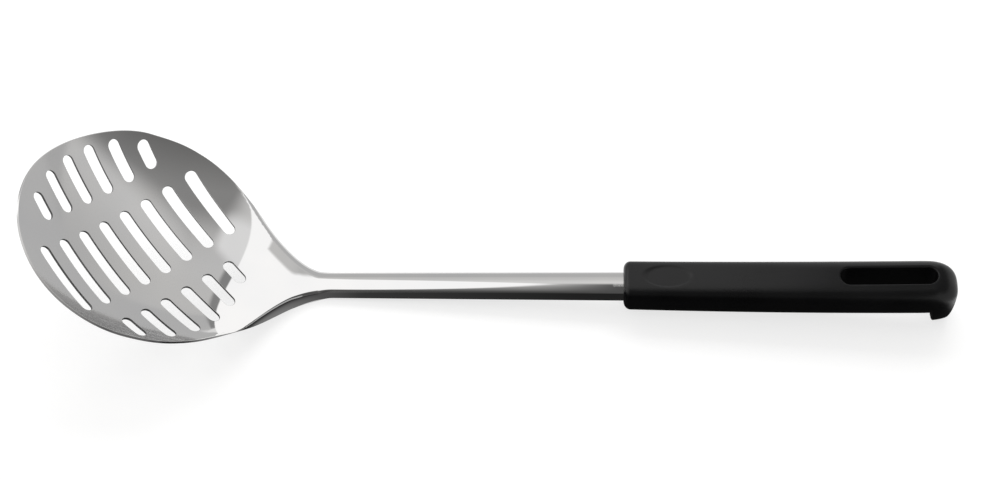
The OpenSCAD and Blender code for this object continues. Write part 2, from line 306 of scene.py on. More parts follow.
def half_width(s):
    """Half width of the sheet's outline, from the tip to the shank."""
    ahead = np.clip((-WIDEST_AT - s) / (BOWL_FRONT - WIDEST_AT), 0, 1)
    tip = BOWL_W / 2 * np.sqrt(np.maximum(0, 1 - ahead ** TIP_POWER))
    along = np.clip((s - NECK_END) / (HANDLE_AT - NECK_END), 0, 1)
    shank = (SHANK_W_NECK + (SHANK_W_HANDLE - SHANK_W_NECK) * along - SHEET_T) / 2
    behind = np.clip((s + WIDEST_AT) / (NECK_END + WIDEST_AT), 0, 1)
    fullness = (1 - behind ** SHOULDER_POWER) ** TAPER_POWER
    neck = shank + (BOWL_W / 2 - (SHANK_W_NECK - SHEET_T) / 2) * fullness
    return np.where(s < -WIDEST_AT, tip, neck)


def turned_edge(s):
    """Flat half, radius, angle and drop of the turned-down edges."""
    turned = ease((s - TURN_START) / (TURN_FULL - TURN_START))
    angle = pi / 2 * turned
    half = half_width(s)
    radius = np.minimum(TURN_R, np.maximum(LEAST_TURN_R, half - LEAST_FLAT))
    flat = np.maximum(0.0, half - radius * np.sin(angle))
    return flat, radius, angle, EDGE_DROP * turned


def sheet_reach(s):
    """Distance along the sheet from its floor line to its edge."""
    flat, radius, angle, drop = turned_edge(s)
    return flat + angle * radius + drop


def sheet_middle(s, q):
    """Middle of the sheet at floor length s and distance q along the sheet from the floor line."""
    s = np.asarray(s, float)
    q = np.asarray(q, float)
    flat, radius, angle, _ = turned_edge(s)
    hollow = 1 - ease((s - TURN_START) / (FLAT_AT - TURN_START))
    away = np.abs(q)
    inside = (away <= flat) | (angle <= 0)
    start = np.arctan(hollow * (flat / FLOOR_R + 8 * RIM_LIFT / BOWL_W * (2 * flat / BOWL_W) ** 3))
    swept = np.minimum(angle, np.maximum(away - flat, 0) / radius)
    past = np.maximum(0, away - flat - angle * radius)
    lean = start - swept
    dish_to = np.where(inside, away, flat)
    dish = hollow * (dish_to ** 2 / (2 * FLOOR_R) + RIM_LIFT * (2 * dish_to / BOWL_W) ** 4)
    y = np.where(inside, away, flat + radius * (np.sin(start) - np.sin(lean)) + past * np.cos(lean))
    up = np.where(inside, dish, dish + radius * (np.cos(lean) - np.cos(start)) + past * np.sin(lean))
    x, z, a = floor_line(s)
    return np.stack([x + np.sin(a) * up, np.sign(q) * y, z + np.cos(a) * up], -1)


def sheet_normal(s, q):
    d = 0.02
    along = sheet_middle(s + d, q) - sheet_middle(s - d, q)
    across = sheet_middle(s, q + d) - sheet_middle(s, q - d)
    normal = unit(np.cross(along, across))
    # The polished bend has no start or end that a reflection would show
    spans = np.linspace(-BEND_EASE, BEND_EASE, 2 * BEND_EASE + 1)
    blend = np.mean([floor_slope(s + step) for step in spans], axis=0) - floor_slope(s)
    blend = blend * ease((s - FLAT_AT) / BEND_EASE)
    c, w = np.cos(blend), np.sin(blend)
    x, y, z = np.moveaxis(normal, -1, 0)
    return np.stack([x * c + z * w, y, z * c - x * w], -1)


def base_plane(points):
    """Points as the slot punch sees them: lengthways and across, on the slots' plane."""
    x = points[..., 0] - SLOTS_MID[0]
    z = points[..., 2] - SLOTS_MID[1]
    return np.stack([x * BOWL_COS - z * BOWL_SIN, points[..., 1]], -1)


def slot_ends():
    """Both ends of each slot's middle line on the slots' plane."""
    reach = BOWL_W / 2 - RIM_LAND
    inner = SLOT_LEN / 2 + ROW_GAP
    w = SLOT_W / 2
    lines = []
    for i in range(MIDDLE_SLOTS):
        across = (i - (MIDDLE_SLOTS - 1) / 2) * SLOT_PITCH
        lines.append((-SLOT_LEN / 2 + w, SLOT_LEN / 2 - w, across))
    for i in range(OUTER_SLOTS):
        across = (i - (OUTER_SLOTS - 1) / 2) * SLOT_PITCH
        outer = sqrt(reach * reach - across * across)
        lines.append((inner + w, outer - w, across))
        lines.append((-outer + w, -inner - w, across))
    c, s = cos(radians(SLOT_ANGLE)), sin(radians(SLOT_ANGLE))
    return [
        (np.array([x0 * c + y * s, -x0 * s + y * c]), np.array([x1 * c + y * s, -x1 * s + y * c]))
        for x0, x1, y in lines
    ]


def stadium(a, b, r, arc_steps, step):
    """Outline of a slot with round ends, anticlockwise."""
    d = (b - a) / np.linalg.norm(b - a)
    n = np.array([-d[1], d[0]])
    side = max(2, int(round(np.linalg.norm(b - a) / step)))
    turn = np.linspace(-pi / 2, pi / 2, arc_steps + 1)
    cap_b = b + r * (np.outer(np.cos(turn), d) + np.outer(np.sin(turn), n))
    cap_a = a - r * (np.outer(np.cos(turn), d) + np.outer(np.sin(turn), n))
    share = np.linspace(0, 1, side + 1)[1:-1, None]
    far = cap_b[-1] + (cap_a[0] - cap_b[-1]) * share
    near = cap_a[-1] + (cap_b[0] - cap_a[-1]) * share
    return np.concatenate([cap_b, far, cap_a, near])


def on_sheet(plane_points):
    """Floor length and distance across of points given on the slots' plane, closed in on by steps."""
    s = plane_points[:, 0].copy()
    q = plane_points[:, 1]
    d = 0.05
    for _ in range(PUNCH_ROUNDS):
        here = base_plane(sheet_middle(s, q))[:, 0]
        ahead = base_plane(sheet_middle(s + d, q))[:, 0]
        s = s - (here - plane_points[:, 0]) / ((ahead - here) / d)
    return np.stack([s, q], -1)


def distance_to_line(points, a, b):
    d = b - a
    t = np.clip(((points - a) @ d) / (d @ d), 0, 1)
    return np.linalg.norm(points - a - t[:, None] * d, axis=1)


def triangles_between(points, edges):
    """Delaunay triangles of points in a plane that keep the given edges."""
    made = delaunay_2d_cdt([Vector(p) for p in points.tolist()], edges, [], 0, 1e-6, True)
    first = [ids[0] for ids in made[3]]
    return np.array([[first[v] for v in face] for face in made[2]])


class SheetPlaces:
    """Places on the sheet, each a floor length and a distance across, numbered as they come."""

    def __init__(self):
        self.s = np.zeros(0)
        self.q = np.zeros(0)

    def add(self, s, q):
        """Add places, and return their numbers."""
        first = len(self.s)
        self.s = np.append(self.s, s)
        self.q = np.append(self.q, q)
        return list(range(first, len(self.s)))

    def pairs(self, ids):
        return np.stack([self.s[ids], self.q[ids]], -1)


def half_rim(rows):
    """Floor lengths and reaches along one half of the rim, from the tang's end to the tip."""
    side = np.linspace(JOIN_AT, -WIDEST_AT, SIDE_POINTS)[1:]
    turn = np.radians(np.linspace(90, 0, TIP_POINTS))[1:]
    tip = -BOWL_FRONT + (BOWL_FRONT - WIDEST_AT) * (1 - np.cos(turn))
    s = np.concatenate([rows[::-1], side, tip])
    reach = sheet_reach(s)
    reach[-1] = 0
    return s, reach


def neck_places(places):
    """The rim's two halves, the tang's end, and a regular grid along neck, shank and tang."""
    neck = np.linspace(JOIN_AT, FINE_TO, NECK_ROWS)
    shank = np.linspace(FINE_TO, TANG_END, SHANK_ROWS)
    rows = np.concatenate([neck, shank[1:]])
    cols = np.linspace(-1, 1, SHEET_COLS)
    s, reach = half_rim(rows)
    # The rim runs anticlockwise: along +y to the tip, back along -y, and across the tang's end
    far = places.add(s, reach)
    near = places.add(s[-2::-1], -reach[-2::-1])
    end = places.add(np.full(SHEET_COLS - 2, TANG_END), cols[1:-1] * sheet_reach(np.array(TANG_END)))
    grid = np.zeros((len(rows), SHEET_COLS), int)
    grid[:, -1] = far[:len(rows)][::-1]
    grid[:, 0] = near[-len(rows):]
    grid[-1, 1:-1] = end
    for i, row in enumerate(rows[:-1]):
        grid[i, 1:-1] = places.add(np.full(SHEET_COLS - 2, row), cols[1:-1] * sheet_reach(row))
    return far + near, end, grid.tolist()


def neck_faces(grid):
    faces = []
    for row, after in zip(grid[:-1], grid[1:]):
        for j in range(SHEET_COLS - 1):
            faces.append((row[j], after[j], after[j + 1], row[j + 1]))
    return faces


def slot_places(places, lines):
    """Outlines of the slots, clockwise."""
    slots = []
    for a, b in lines:
        outline = on_sheet(stadium(a, b, SLOT_W / 2, SLOT_ARC_STEPS, OUTLINE_STEP))[::-1]
        slots.append(places.add(outline[:, 0], outline[:, 1]))
    return slots


def free_places(places, bowl_rim, lines):
    """Staggered places over the bowl that keep clear of its rim and of the slots."""
    s_steps = np.arange(-BOWL_FRONT, JOIN_AT, FREE_ROW)
    q_steps = np.arange(-FREE_REACH, FREE_REACH, FREE_PITCH)
    s, q = np.meshgrid(s_steps, q_steps, indexing="ij")
    q[::2] += FREE_PITCH / 2
    s, q = s.ravel(), q.ravel()
    keep = (np.abs(q) < sheet_reach(s) - FREE_FROM_RIM) & (s < JOIN_AT - FREE_FROM_EDGE)
    s, q = s[keep], q[keep]
    to_rim = np.stack([s, q], -1)[:, None] - places.pairs(bowl_rim)[None]
    gap = np.min(np.linalg.norm(to_rim, axis=2), axis=1)
    plane = base_plane(sheet_middle(s, q))
    for a, b in lines:
        gap = np.minimum(gap, distance_to_line(plane, a, b) - SLOT_W / 2)
    keep = gap > FREE_FROM_EDGE
    return places.add(s[keep], q[keep])


def bowl_faces(places, bowl_rim, join_row, slots, free, lines):
    """Triangles over the bowl, round the slots."""
    fences = list(zip(bowl_rim[:-1], bowl_rim[1:]))
    fences += list(zip(join_row[:-1], join_row[1:]))
    for slot in slots:
        fences += list(zip(slot, slot[1:] + slot[:1]))
    order = sorted({v for part in (bowl_rim, join_row, free, *slots) for v in part})
    number = {v: i for i, v in enumerate(order)}
    flat = places.pairs(order)
    found = triangles_between(flat, [(number[a], number[b]) for a, b in fences])
    centre = flat[found].mean(axis=1)
    inside = (np.abs(centre[:, 1]) < sheet_reach(centre[:, 0])) & (centre[:, 0] < JOIN_AT)
    plane = base_plane(sheet_middle(centre[:, 0], centre[:, 1]))
    for a, b in lines:
        inside &= distance_to_line(plane, a, b) > SLOT_W / 2
    return [tuple(order[v] for v in face) for face in found[inside].tolist()]


def directions_off_edges(middle, normal, loops):
    """Directions along the sheet and out over its edges, zero away from them."""
    outward = np.zeros_like(middle)
    for loop in loops:
        ring = middle[loop]
        tangent = unit(np.roll(ring, -1, axis=0) - np.roll(ring, 1, axis=0))
        outward[loop] = unit(np.cross(tangent, normal[loop]))
    return outward


def thick_sheet(places, upper, rim, slots):
    """The sheet's two faces, with its broken edges and punched walls between them."""
    middle = sheet_middle(places.s, places.q)
    normal = sheet_normal(places.s, places.q)
    outward = directions_off_edges(middle, normal, [rim] + slots)
    half, broken = SHEET_T / 2, PUNCHED_ROUND
    cut = broken * (1 - cos(pi / 4))
    count = len(middle)
    sheet = Surface()
    sheet.add(middle + normal * half - outward * broken, normal)
    sheet.add(middle - normal * half - outward * broken, -normal)
    sheet.faces = upper + [tuple(count + v for v in face[::-1]) for face in upper]
    finishes = [0] * len(sheet.faces)
    for loop in [rim] + slots:
        # The rim keeps the finish of the faces, and a slot's wall has the second one, whose dark colour
        # is painted shade
        finish = 0 if loop is rim else 1
        mid, out, up = middle[loop], outward[loop], normal[loop]
        rings = [
            loop,
            sheet.add(mid + up * (half - cut) - out * cut, up + out),
            sheet.add(mid + up * (half - broken), out),
            sheet.add(mid - up * (half - broken), out),
            sheet.add(mid - up * (half - cut) - out * cut, out - up),
            [count + v for v in loop],
        ]
        for strip, (a, b) in enumerate(zip(rings[:-1], rings[1:])):
            for i in range(len(loop)):
                k = (i + 1) % len(loop)
                sheet.faces.append((a[i], b[i], b[k], a[k]))
                finishes.append(finish if 0 < strip < 4 else 0)
    return mesh_piece("spoon_sheet", sheet.points, sheet.looks, sheet.faces, finishes)


def spoon_sheet():
    """The steel sheet, with real slots and broken edges."""
    places = SheetPlaces()
    outer, end, grid = neck_places(places)
    lines = slot_ends()
    slots = slot_places(places, lines)
    bowl_rim = outer[len(grid) - 1:1 - len(grid)]
    free = free_places(places, bowl_rim, lines)
    faces = neck_faces(grid) + bowl_faces(places, bowl_rim, grid[0], slots, free, lines)
    return thick_sheet(places, faces, outer + end, slots)


# Moulded handle
def rounded_off(x, end, length, power=2.0):
    u = np.clip(1 - (end - x) / length, 0, 1)
    return np.maximum(0, 1 - u ** power) ** (1 / power)


def handle_section(x):
    """Half width, height above and below the centre line, centre line and squareness."""
    u = (x - SHANK_LEN) / HANDLE_LEN
    loss = FRONT_ROUND * (1 - rounded_off(2 * SHANK_LEN - x, SHANK_LEN, FRONT_ROUND))
    half_t = (HANDLE_T[0] + (HANDLE_T[1] - HANDLE_T[0]) * u) / 2
    half_w = (HANDLE_W[0] + (HANDLE_W[1] - HANDLE_W[0]) * u) / 2
    half_w = half_w * rounded_off(x, HANDLE_END, REAR_ROUND, PLAN_POWER) - loss
    above = half_t * rounded_off(x, HANDLE_END, TOP_ROUND) - loss
    below = half_t + HOOK_DROP * ease((x - HOOK_X) / HOOK_FACE)
    below = below * rounded_off(x, HANDLE_END, HOOK_ROUND) - loss
    centre = HANDLE_RISE - HANDLE_DROOP * u - HANDLE_SAG * 4 * u * (1 - u)
    power = SECTION_POWER[0] + (SECTION_POWER[1] - SECTION_POWER[0]) * u
    return half_w, above, below, centre, power


def thumb_dip(x, y):
    """Depth of the thumb rest, with a soft rim and a flat floor."""
    u = (x - SHANK_LEN - THUMB_AT) / (THUMB_LEN / 2)
    v = y / (THUMB_W / 2)
    return THUMB_DEPTH * ease((THUMB_EDGE - u * u - v * v) / THUMB_RIM)


def handle_point(x, angle):
    """Point of the handle's skin at a length and a direction seen from its centre line."""
    half_w, above, below, centre, power = handle_section(x)
    c, s = np.cos(angle), np.sin(angle)
    tall = np.where(s >= 0, above, below)
    reach = (np.abs(c / half_w) ** power + np.abs(s / tall) ** power) ** (-1 / power)
    y = reach * c
    z = centre + reach * s
    return np.stack([x + 0 * y, y, z - np.where(s > 0, thumb_dip(x, y), 0)], -1)


def handle_normal(x, angle):
    d, inset = 0.004, 0.0005
    ahead = np.minimum(x + d, HANDLE_END - inset)
    back = np.maximum(x - d, SHANK_LEN + inset)
    along = handle_point(ahead, angle) - handle_point(back, angle)
    around = handle_point(x, angle + d) - handle_point(x, angle - d)
    return unit(np.cross(around, along))


def handle_direction(x, y, top):
    """Direction from the centre line at which the skin has a given y."""
    half_w, above, below, _, power = handle_section(x)
    tall = np.where(top, above, -below)
    z = tall * np.maximum(0, 1 - np.abs(y / half_w) ** power) ** (1 / power)
    return np.arctan2(z, y)


def slot_rim(outline, inward, top, radius, steps):
    """Rolled rim of the hanging slot: rings from the skin to the slot's wall, each with its shading."""
    back = np.full(len(outline), radius)
    for _ in range(RIM_ROUNDS):
        at = outline - inward[:, :2] * back[:, None]
        angle = handle_direction(at[:, 0], at[:, 1], top)
        skin = handle_point(at[:, 0], angle)
        normal = handle_normal(at[:, 0], angle)
        back = radius * (1 - np.sum(normal * inward, axis=1))
    rings = []
    for turned in np.linspace(0, pi / 2, steps + 1):
        look = unit(normal * cos(turned) + inward * sin(turned))
        rings.append((skin - normal * radius + look * radius, look))
    return rings


def inside_outline(points, outline):
    """Which points lie inside a closed outline in a plane."""
    x, y = points[:, 0][:, None], points[:, 1][:, None]
    x0, y0 = outline[:, 0][None], outline[:, 1][None]
    x1, y1 = np.roll(x0, -1, axis=1), np.roll(y0, -1, axis=1)
    crosses = (y0 > y) != (y1 > y)
    rise = np.where(y1 == y0, 1e-12, y1 - y0)
    hit = crosses & (x < (x1 - x0) * (y - y0) / rise + x0)
    return hit.sum(axis=1) % 2 == 1


def handle_stations():
    """Places along the handle at which its skin has a ring of points."""
    front = SHANK_LEN + FRONT_ROUND * (1 - np.cos(np.radians(np.linspace(0, 90, FRONT_POINTS))))
    thumb = np.linspace(front[-1], SHANK_LEN + THUMB_AT + THUMB_LEN / 2 + PAST_THUMB, THUMB_POINTS)
    body = np.linspace(thumb[-1], HANG_FRONT - BEFORE_SLOT, BODY_POINTS)
    slot = np.linspace(body[-1], HOOK_X, SLOT_POINTS)
    face = np.linspace(HOOK_X, HOOK_X + HOOK_FACE, HOOK_FACE_POINTS)
    turn = np.radians(np.linspace(0, 90, REAR_POINTS)[1:-1])
    rear = face[-1] + (HANDLE_END - face[-1]) * np.sin(turn)
    return np.concatenate([front, thumb[1:], body[1:], slot[1:], face[1:], rear])


def patch_columns(top):
    """First and last column of the skin's patch round the hanging slot, above or below."""
    centre = HANDLE_COLS // 4 if top else 3 * HANDLE_COLS // 4
    return centre - PATCH_SPREAD, centre + PATCH_SPREAD


def patch_border(rows, cols):
    """Grid places round a patch of the skin, anticlockwise as seen from outside."""
    i0, i1 = rows
    j0, j1 = cols
    border = [(i0, j) for j in range(j0, j1)]
    border += [(i, j1) for i in range(i0, i1)]
    border += [(i1, j) for j in range(j1, j0, -1)]
    border += [(i, j0) for i in range(i1, i0, -1)]
    return border


def slot_side(skin, grid, rows, top, radius, steps):
    """One side of the hanging slot: its rolled rim, and triangles from there to the skin's grid.

    Returns the ring where the rim meets the slot's wall.
    """
    a = np.array([HANG_FRONT + HANG_W / 2, 0.0])
    b = np.array([HANG_REAR - HANG_W / 2, 0.0])
    outline = stadium(a, b, HANG_W / 2, HANG_ARC_STEPS, OUTLINE_STEP)
    middle = np.clip(outline[:, 0], a[0], b[0])
    inward = unit(np.stack([middle - outline[:, 0], -outline[:, 1], 0 * middle], -1))
    rings = [skin.add(place, look) for place, look in slot_rim(outline, inward, top, radius, steps)]

    cols = patch_columns(top)
    border = [int(grid[place]) for place in patch_border(rows, cols)]
    within = grid[rows[0] + 1:rows[1], cols[0] + 1:cols[1]].ravel()
    clear_from = HANG_W / 2 + radius * CLEAR_SHARE + CLEAR_MARGIN
    clear = distance_to_line(skin.points[within, :2], a, b) > clear_from
    names = border + rings[0] + within[clear].tolist()
    plan = skin.points[names, :2]
    hole_start, hole_end = len(border), len(border) + len(outline)
    edges = [(k, (k + 1) % hole_start) for k in range(hole_start)]
    edges += list(zip(range(hole_start, hole_end), [*range(hole_start + 1, hole_end), hole_start]))
    found = triangles_between(plan, edges)
    centre = plan[found].mean(axis=1)
    in_hole = inside_outline(centre, plan[hole_start:hole_end])
    in_patch = inside_outline(centre, plan[:hole_start])
    for face in found[in_patch & ~in_hole].tolist():
        triangle = tuple(names[v] for v in face)
        skin.faces.append(triangle if top else triangle[::-1])
    for ring, next_ring in zip(rings[:-1], rings[1:]):
        skin.add_ring_faces(ring, next_ring, flip=not top)
    return rings[-1]


def moulded_handle():
    """The handle's skin with its thumb rest, hook and hanging slot."""
    xs = handle_stations()
    angles = np.arange(HANDLE_COLS) * 2 * pi / HANDLE_COLS
    grid_x, grid_a = np.meshgrid(xs, angles, indexing="ij")
    looks = handle_normal(grid_x, grid_a)
    looks[0] = (-1, 0, 0)
    skin = Surface()
    grid = np.reshape(skin.add(handle_point(grid_x, grid_a), looks), grid_x.shape)

    first = int(np.searchsorted(xs, HANG_FRONT - PATCH_AHEAD)) - 1
    last = int(np.searchsorted(xs, HANG_REAR + PATCH_BEHIND))
    wall_top = slot_side(skin, grid, (first, last), True, SLOT_TOP_ROUND, TOP_RIM_STEPS)
    wall_under = slot_side(skin, grid, (first, last), False, SLOT_UNDER_ROUND, UNDER_RIM_STEPS)
    skin.add_ring_faces(wall_top, wall_under)

    rings = grid.tolist()
    patches = (patch_columns(True), patch_columns(False))
    for i, (ring, after) in enumerate(zip(rings[:-1], rings[1:])):
        for j in range(HANDLE_COLS):
            if first <= i < last and any(j0 <= j < j1 for j0, j1 in patches):
                continue
            k = (j + 1) % HANDLE_COLS
            skin.faces.append((ring[j], ring[k], after[k], after[j]))
    front_middle = (xs[0], 0, handle_section(xs[0])[3])
    rear_middle = (HANDLE_END, 0, handle_section(xs[-1])[3])
    front, rear = skin.add([front_middle, rear_middle], [(-1, 0, 0), (1, 0, 0)])
    for j in range(HANDLE_COLS):
        k = (j + 1) % HANDLE_COLS
        skin.faces.append((front, rings[0][k], rings[0][j]))
        skin.faces.append((rear, rings[-1][j], rings[-1][k]))
    return mesh_piece("moulded_handle", skin.points, skin.looks, skin.faces)


# Materials
def fill(tree, node, sockets):
    """Fill sockets, given by number or name, from values or from other sockets."""
    for socket, value in sockets.items():
        if isinstance(value, bpy.types.NodeSocket):
            tree.links.new(value, node.inputs[socket])
        else:
            node.inputs[socket].default_value = value


def add_node(tree, kind, sockets=None, **settings):
    node = tree.nodes.new(kind)
    for name, value in settings.items():
        setattr(node, name, value)
    fill(tree, node, sockets or {})
    return node


def calc(tree, operation, a, b):
    return add_node(tree, "ShaderNodeMath", {0: a, 1: b}, operation=operation).outputs[0]


def product(tree, first, *others):
    for other in others:
        first = calc(tree, "MULTIPLY", first, other)
    return first


def ranged(tree, value, low, high, at_low, at_high, kind="LINEAR"):
    """What goes from at_low to at_high while the value goes from low to high."""
    sockets = {0: value, 1: low, 2: high, 3: at_low, 4: at_high}
    return add_node(tree, "ShaderNodeMapRange", sockets, interpolation_type=kind).outputs[0]


def smooth_step(tree, value, low, high):
    """0 below low and 1 above high, or the other way round where low is the greater."""
    return ranged(tree, value, low, high, 0.0, 1.0, "SMOOTHSTEP")


def blended(tree, factor, a, b):
    return add_node(tree, "ShaderNodeMix", {0: factor, 2: a, 3: b}, data_type="FLOAT").outputs[0]


def mixed_colour(tree, factor, a, b):
    return add_node(tree, "ShaderNodeMix", {0: factor, 6: a, 7: b}, data_type="RGBA").outputs[2]


def object_axes(tree):
    """Place of the shaded point, as x, y and z in metres."""
    place = tree.nodes.new("ShaderNodeTexCoord").outputs["Object"]
    return add_node(tree, "ShaderNodeSeparateXYZ", {0: place}).outputs


def fine_grain_group():
    """Fine marks of a finish: streaks or speckles over broad clouds, each about 0.5 on average."""
    group = bpy.data.node_groups.new("fine grain", "ShaderNodeTree")
    face = group.interface
    for name, value in (("Scale", 100.0), ("Cloud Scale", 20.0), ("Stretch", 1.0)):
        face.new_socket(name=name, in_out="INPUT", socket_type="NodeSocketFloat").default_value = value
    face.new_socket(name="Grain", in_out="OUTPUT", socket_type="NodeSocketFloat")
    face.new_socket(name="Clouds", in_out="OUTPUT", socket_type="NodeSocketFloat")
    given = group.nodes.new("NodeGroupInput").outputs
    where = group.nodes.new("ShaderNodeTexCoord").outputs["Object"]
    axes = add_node(group, "ShaderNodeCombineXYZ", {0: given["Stretch"], 1: 1.0, 2: 1.0}).outputs[0]
    drawn = add_node(group, "ShaderNodeVectorMath", {0: where, 1: axes}, operation="MULTIPLY").outputs[0]
    grain = add_node(group, "ShaderNodeTexNoise", {
        "Vector": drawn, "Scale": given["Scale"], "Detail": 3.0, "Roughness": 0.6,
    })
    clouds = add_node(group, "ShaderNodeTexNoise", {
        "Vector": where, "Scale": given["Cloud Scale"], "Detail": 2.0, "Roughness": 0.5,
    })
    end = group.nodes.new("NodeGroupOutput")
    fill(group, end, {"Grain": grain.outputs[0], "Clouds": clouds.outputs[0]})
    return group


FINE_GRAIN = fine_grain_group()

# Range that most marks lie in
GRAIN_LOW = 0.3
GRAIN_HIGH = 0.7


def grain_and_clouds(tree, scale, cloud_scale, stretch):
    node = add_node(tree, "ShaderNodeGroup", node_tree=FINE_GRAIN)
    fill(tree, node, {"Scale": scale, "Cloud Scale": cloud_scale, "Stretch": stretch})
    return node.outputs["Grain"], node.outputs["Clouds"]


def spread(tree, marks, low, high):
    """Marks of the fine grain spread over low to high."""
    return ranged(tree, marks, GRAIN_LOW, GRAIN_HIGH, low, high)


def bumped(tree, height, strength, distance):
    sockets = {"Strength": strength, "Distance": distance, "Height": height}
    return add_node(tree, "ShaderNodeBump", sockets).outputs[0]


def new_material(name):
    material = bpy.data.materials.new(name)
    material.use_nodes = True
    tree = material.node_tree
    return material, tree, tree.nodes["Principled BSDF"]


def polished_steel():
    """Stainless sheet, polished bright and satin in front, with drawing streaks and cloudy buffing."""
    material, tree, shader = new_material("polished stainless steel")
    streaks, clouds = grain_and_clouds(tree, 900.0, 45.0, 0.06)
    tone = spread(tree, clouds, 0.0, 1.0)
    satin = ranged(tree, object_axes(tree)[0], SATIN_FROM, SATIN_TO, SATIN, 0.0)
    buffed = calc(tree, "ADD", spread(tree, clouds, 0.015, 0.035), spread(tree, streaks, 0.0, 0.015))
    fill(tree, shader, {
        "Base Color": mixed_colour(tree, tone, (0.570, 0.568, 0.570, 1), (0.598, 0.592, 0.586, 1)),
        "Metallic": 1.0,
        "Roughness": calc(tree, "ADD", buffed, satin),
        "Normal": bumped(tree, streaks, 0.03, 0.00005),
    })
    return material


def punched_edge_painted_shade():
    """The walls of the slots: sheared and dull, and darker than the polished faces, a darkness that is
    painted shade in the slots.
    """
    material, tree, shader = new_material("punched steel edge with painted shade")
    tears, clouds = grain_and_clouds(tree, 1500.0, 120.0, 1.0)
    tone = spread(tree, tears, 0.0, 1.0)
    fill(tree, shader, {
        # The dark base colour is painted shade on the slots' walls, not the colour of the steel
        "Base Color": mixed_colour(tree, tone, (0.07, 0.07, 0.072, 1), (0.12, 0.12, 0.118, 1)),
        "Metallic": 1.0,
        "Roughness": spread(tree, clouds, 0.32, 0.48),
        "Normal": bumped(tree, tears, 0.2, 0.00005),
    })
    return material


def black_handle():
    """Moulded black plastic with a satin skin and a fine spark-worn grain."""
    material, tree, shader = new_material("satin black moulding")
    grain, clouds = grain_and_clouds(tree, 2600.0, 60.0, 1.0)
    tone = spread(tree, clouds, 0.0, 1.0)
    dark, pale = (0.0024, 0.0024, 0.0028, 1), (0.0042, 0.0042, 0.0047, 1)
    fill(tree, shader, {
        "Base Color": mixed_colour(tree, tone, dark, pale),
        "Roughness": calc(tree, "ADD", spread(tree, clouds, 0.26, 0.31), spread(tree, grain, 0.0, 0.06)),
        "IOR": 1.43,
        "Normal": bumped(tree, grain, 0.25, 0.00008),
    })
    return material


def pale_floor():
    """A white table. Where the camera or a reflection sees it, a little glow brings it to full white."""
    material, tree, shader = new_material("white table")
    rays = tree.nodes.new("ShaderNodeLightPath").outputs
    seen = calc(tree, "MAXIMUM", rays["Is Camera Ray"], rays["Is Glossy Ray"])
    seen = calc(tree, "MAXIMUM", seen, rays["Is Transmission Ray"])
    fill(tree, shader, {
        "Base Color": (FLOOR_TONE, FLOOR_TONE, FLOOR_TONE, 1),
        "Roughness": 0.9,
        "Specular IOR Level": 0.0,
        "Emission Color": WHITE,
        "Emission Strength": product(tree, seen, FLOOR_GLOW),
    })
    return material


# Floor and camera
def white_table():
    h = TABLE_HALF
    mesh = bpy.data.meshes.new("table")
    mesh.from_pydata([(-h, -h, 0), (h, -h, 0), (h, h, 0), (-h, h, 0)], [], [(0, 1, 2, 3)])
    mesh.materials.append(pale_floor())
    return add_object("table", mesh)


def set_camera():
    """The view that was fitted to the photograph."""
    lens = bpy.data.cameras.new("camera")
    lens.sensor_fit = "HORIZONTAL"
    lens.sensor_width = 36.0
    lens.lens = CAMERA_LENS
    lens.clip_start = 0.01
    camera = add_object("camera", lens)
    turn = Euler([radians(angle) for angle in CAMERA_TURN])
    camera.matrix_world = Matrix.LocRotScale(Vector(CAMERA_AT), turn, None)
    bpy.context.scene.camera = camera


# Light
def tent_walls(tree, x, y):
    """Levels from the front to the rear, a little lower on the right."""
    walls = add_node(tree, "ShaderNodeValToRGB", {0: ranged(tree, y, -1.0, 1.0, 0.0, 1.0)})
    stops = walls.color_ramp.elements
    while len(stops) < len(TENT_LEVELS):
        stops.new(0.5)
    for stop, (place, level) in zip(stops, TENT_LEVELS):
        stop.position = place
        stop.color = (level, level, level, 1)
    return product(tree, walls.outputs[0], ranged(tree, x, 0.3, 0.9, 1.06, 0.84))


def with_dark_corner(tree, x, y, level):
    """The tent with a darker corner in front on the right."""
    across = calc(tree, "ADD", product(tree, x, 0.67), product(tree, y, 0.74))
    corner = product(tree, smooth_step(tree, across, 0.62, 0.26), smooth_step(tree, x, 0.04, 0.2))
    return blended(tree, corner, level, ranged(tree, y, -0.75, -0.1, 0.2, 0.37))


def with_left_panel(tree, x, y, z, level):
    """The tent with a bright panel low on the left behind, for the handle's rims."""
    panel = product(
        tree,
        smooth_step(tree, x, -0.5, -0.6), smooth_step(tree, x, -0.97, -0.92),
        smooth_step(tree, z, 0.1, 0.2), smooth_step(tree, y, 0.2, 0.4),
    )
    return blended(tree, panel, level, LEFT_PANEL)


def studio_world():
    """A soft tent: pale overhead and behind, darker low in front and to the right."""
    world = bpy.data.worlds.new("studio tent")
    world.use_nodes = True
    tree = world.node_tree
    direction = tree.nodes.new("ShaderNodeTexCoord").outputs["Generated"]
    x, y, z = add_node(tree, "ShaderNodeSeparateXYZ", {0: direction}).outputs
    level = with_dark_corner(tree, x, y, tent_walls(tree, x, y))
    level = with_left_panel(tree, x, y, z, level)
    fill(tree, tree.nodes["Background"], {"Color": TENT_TINT, "Strength": level})
    bpy.context.scene.world = world


def left_of_side(tree, x, y, side):
    """1 on the left of a side and 0 on its right, with a soft change."""
    x0, y0, x1, y1, soft = side
    length = sqrt((x1 - x0) ** 2 + (y1 - y0) ** 2)
    nx, ny = -(y1 - y0) / length, (x1 - x0) / length
    edge = (nx * x0 + ny * y0) * MM
    along = calc(tree, "ADD", product(tree, x, nx), product(tree, y, ny))
    return smooth_step(tree, along, edge - soft * MM, edge + soft * MM)


def zone_mask(tree, x, y, sides):
    """1 inside a zone and 0 outside. Of sides listed together, one is enough."""
    mask = 1.0
    for group in sides:
        inside = 0.0
        for side in group:
            inside = calc(tree, "MAXIMUM", inside, left_of_side(tree, x, y, side))
        mask = calc(tree, "MULTIPLY", mask, inside)
    return mask


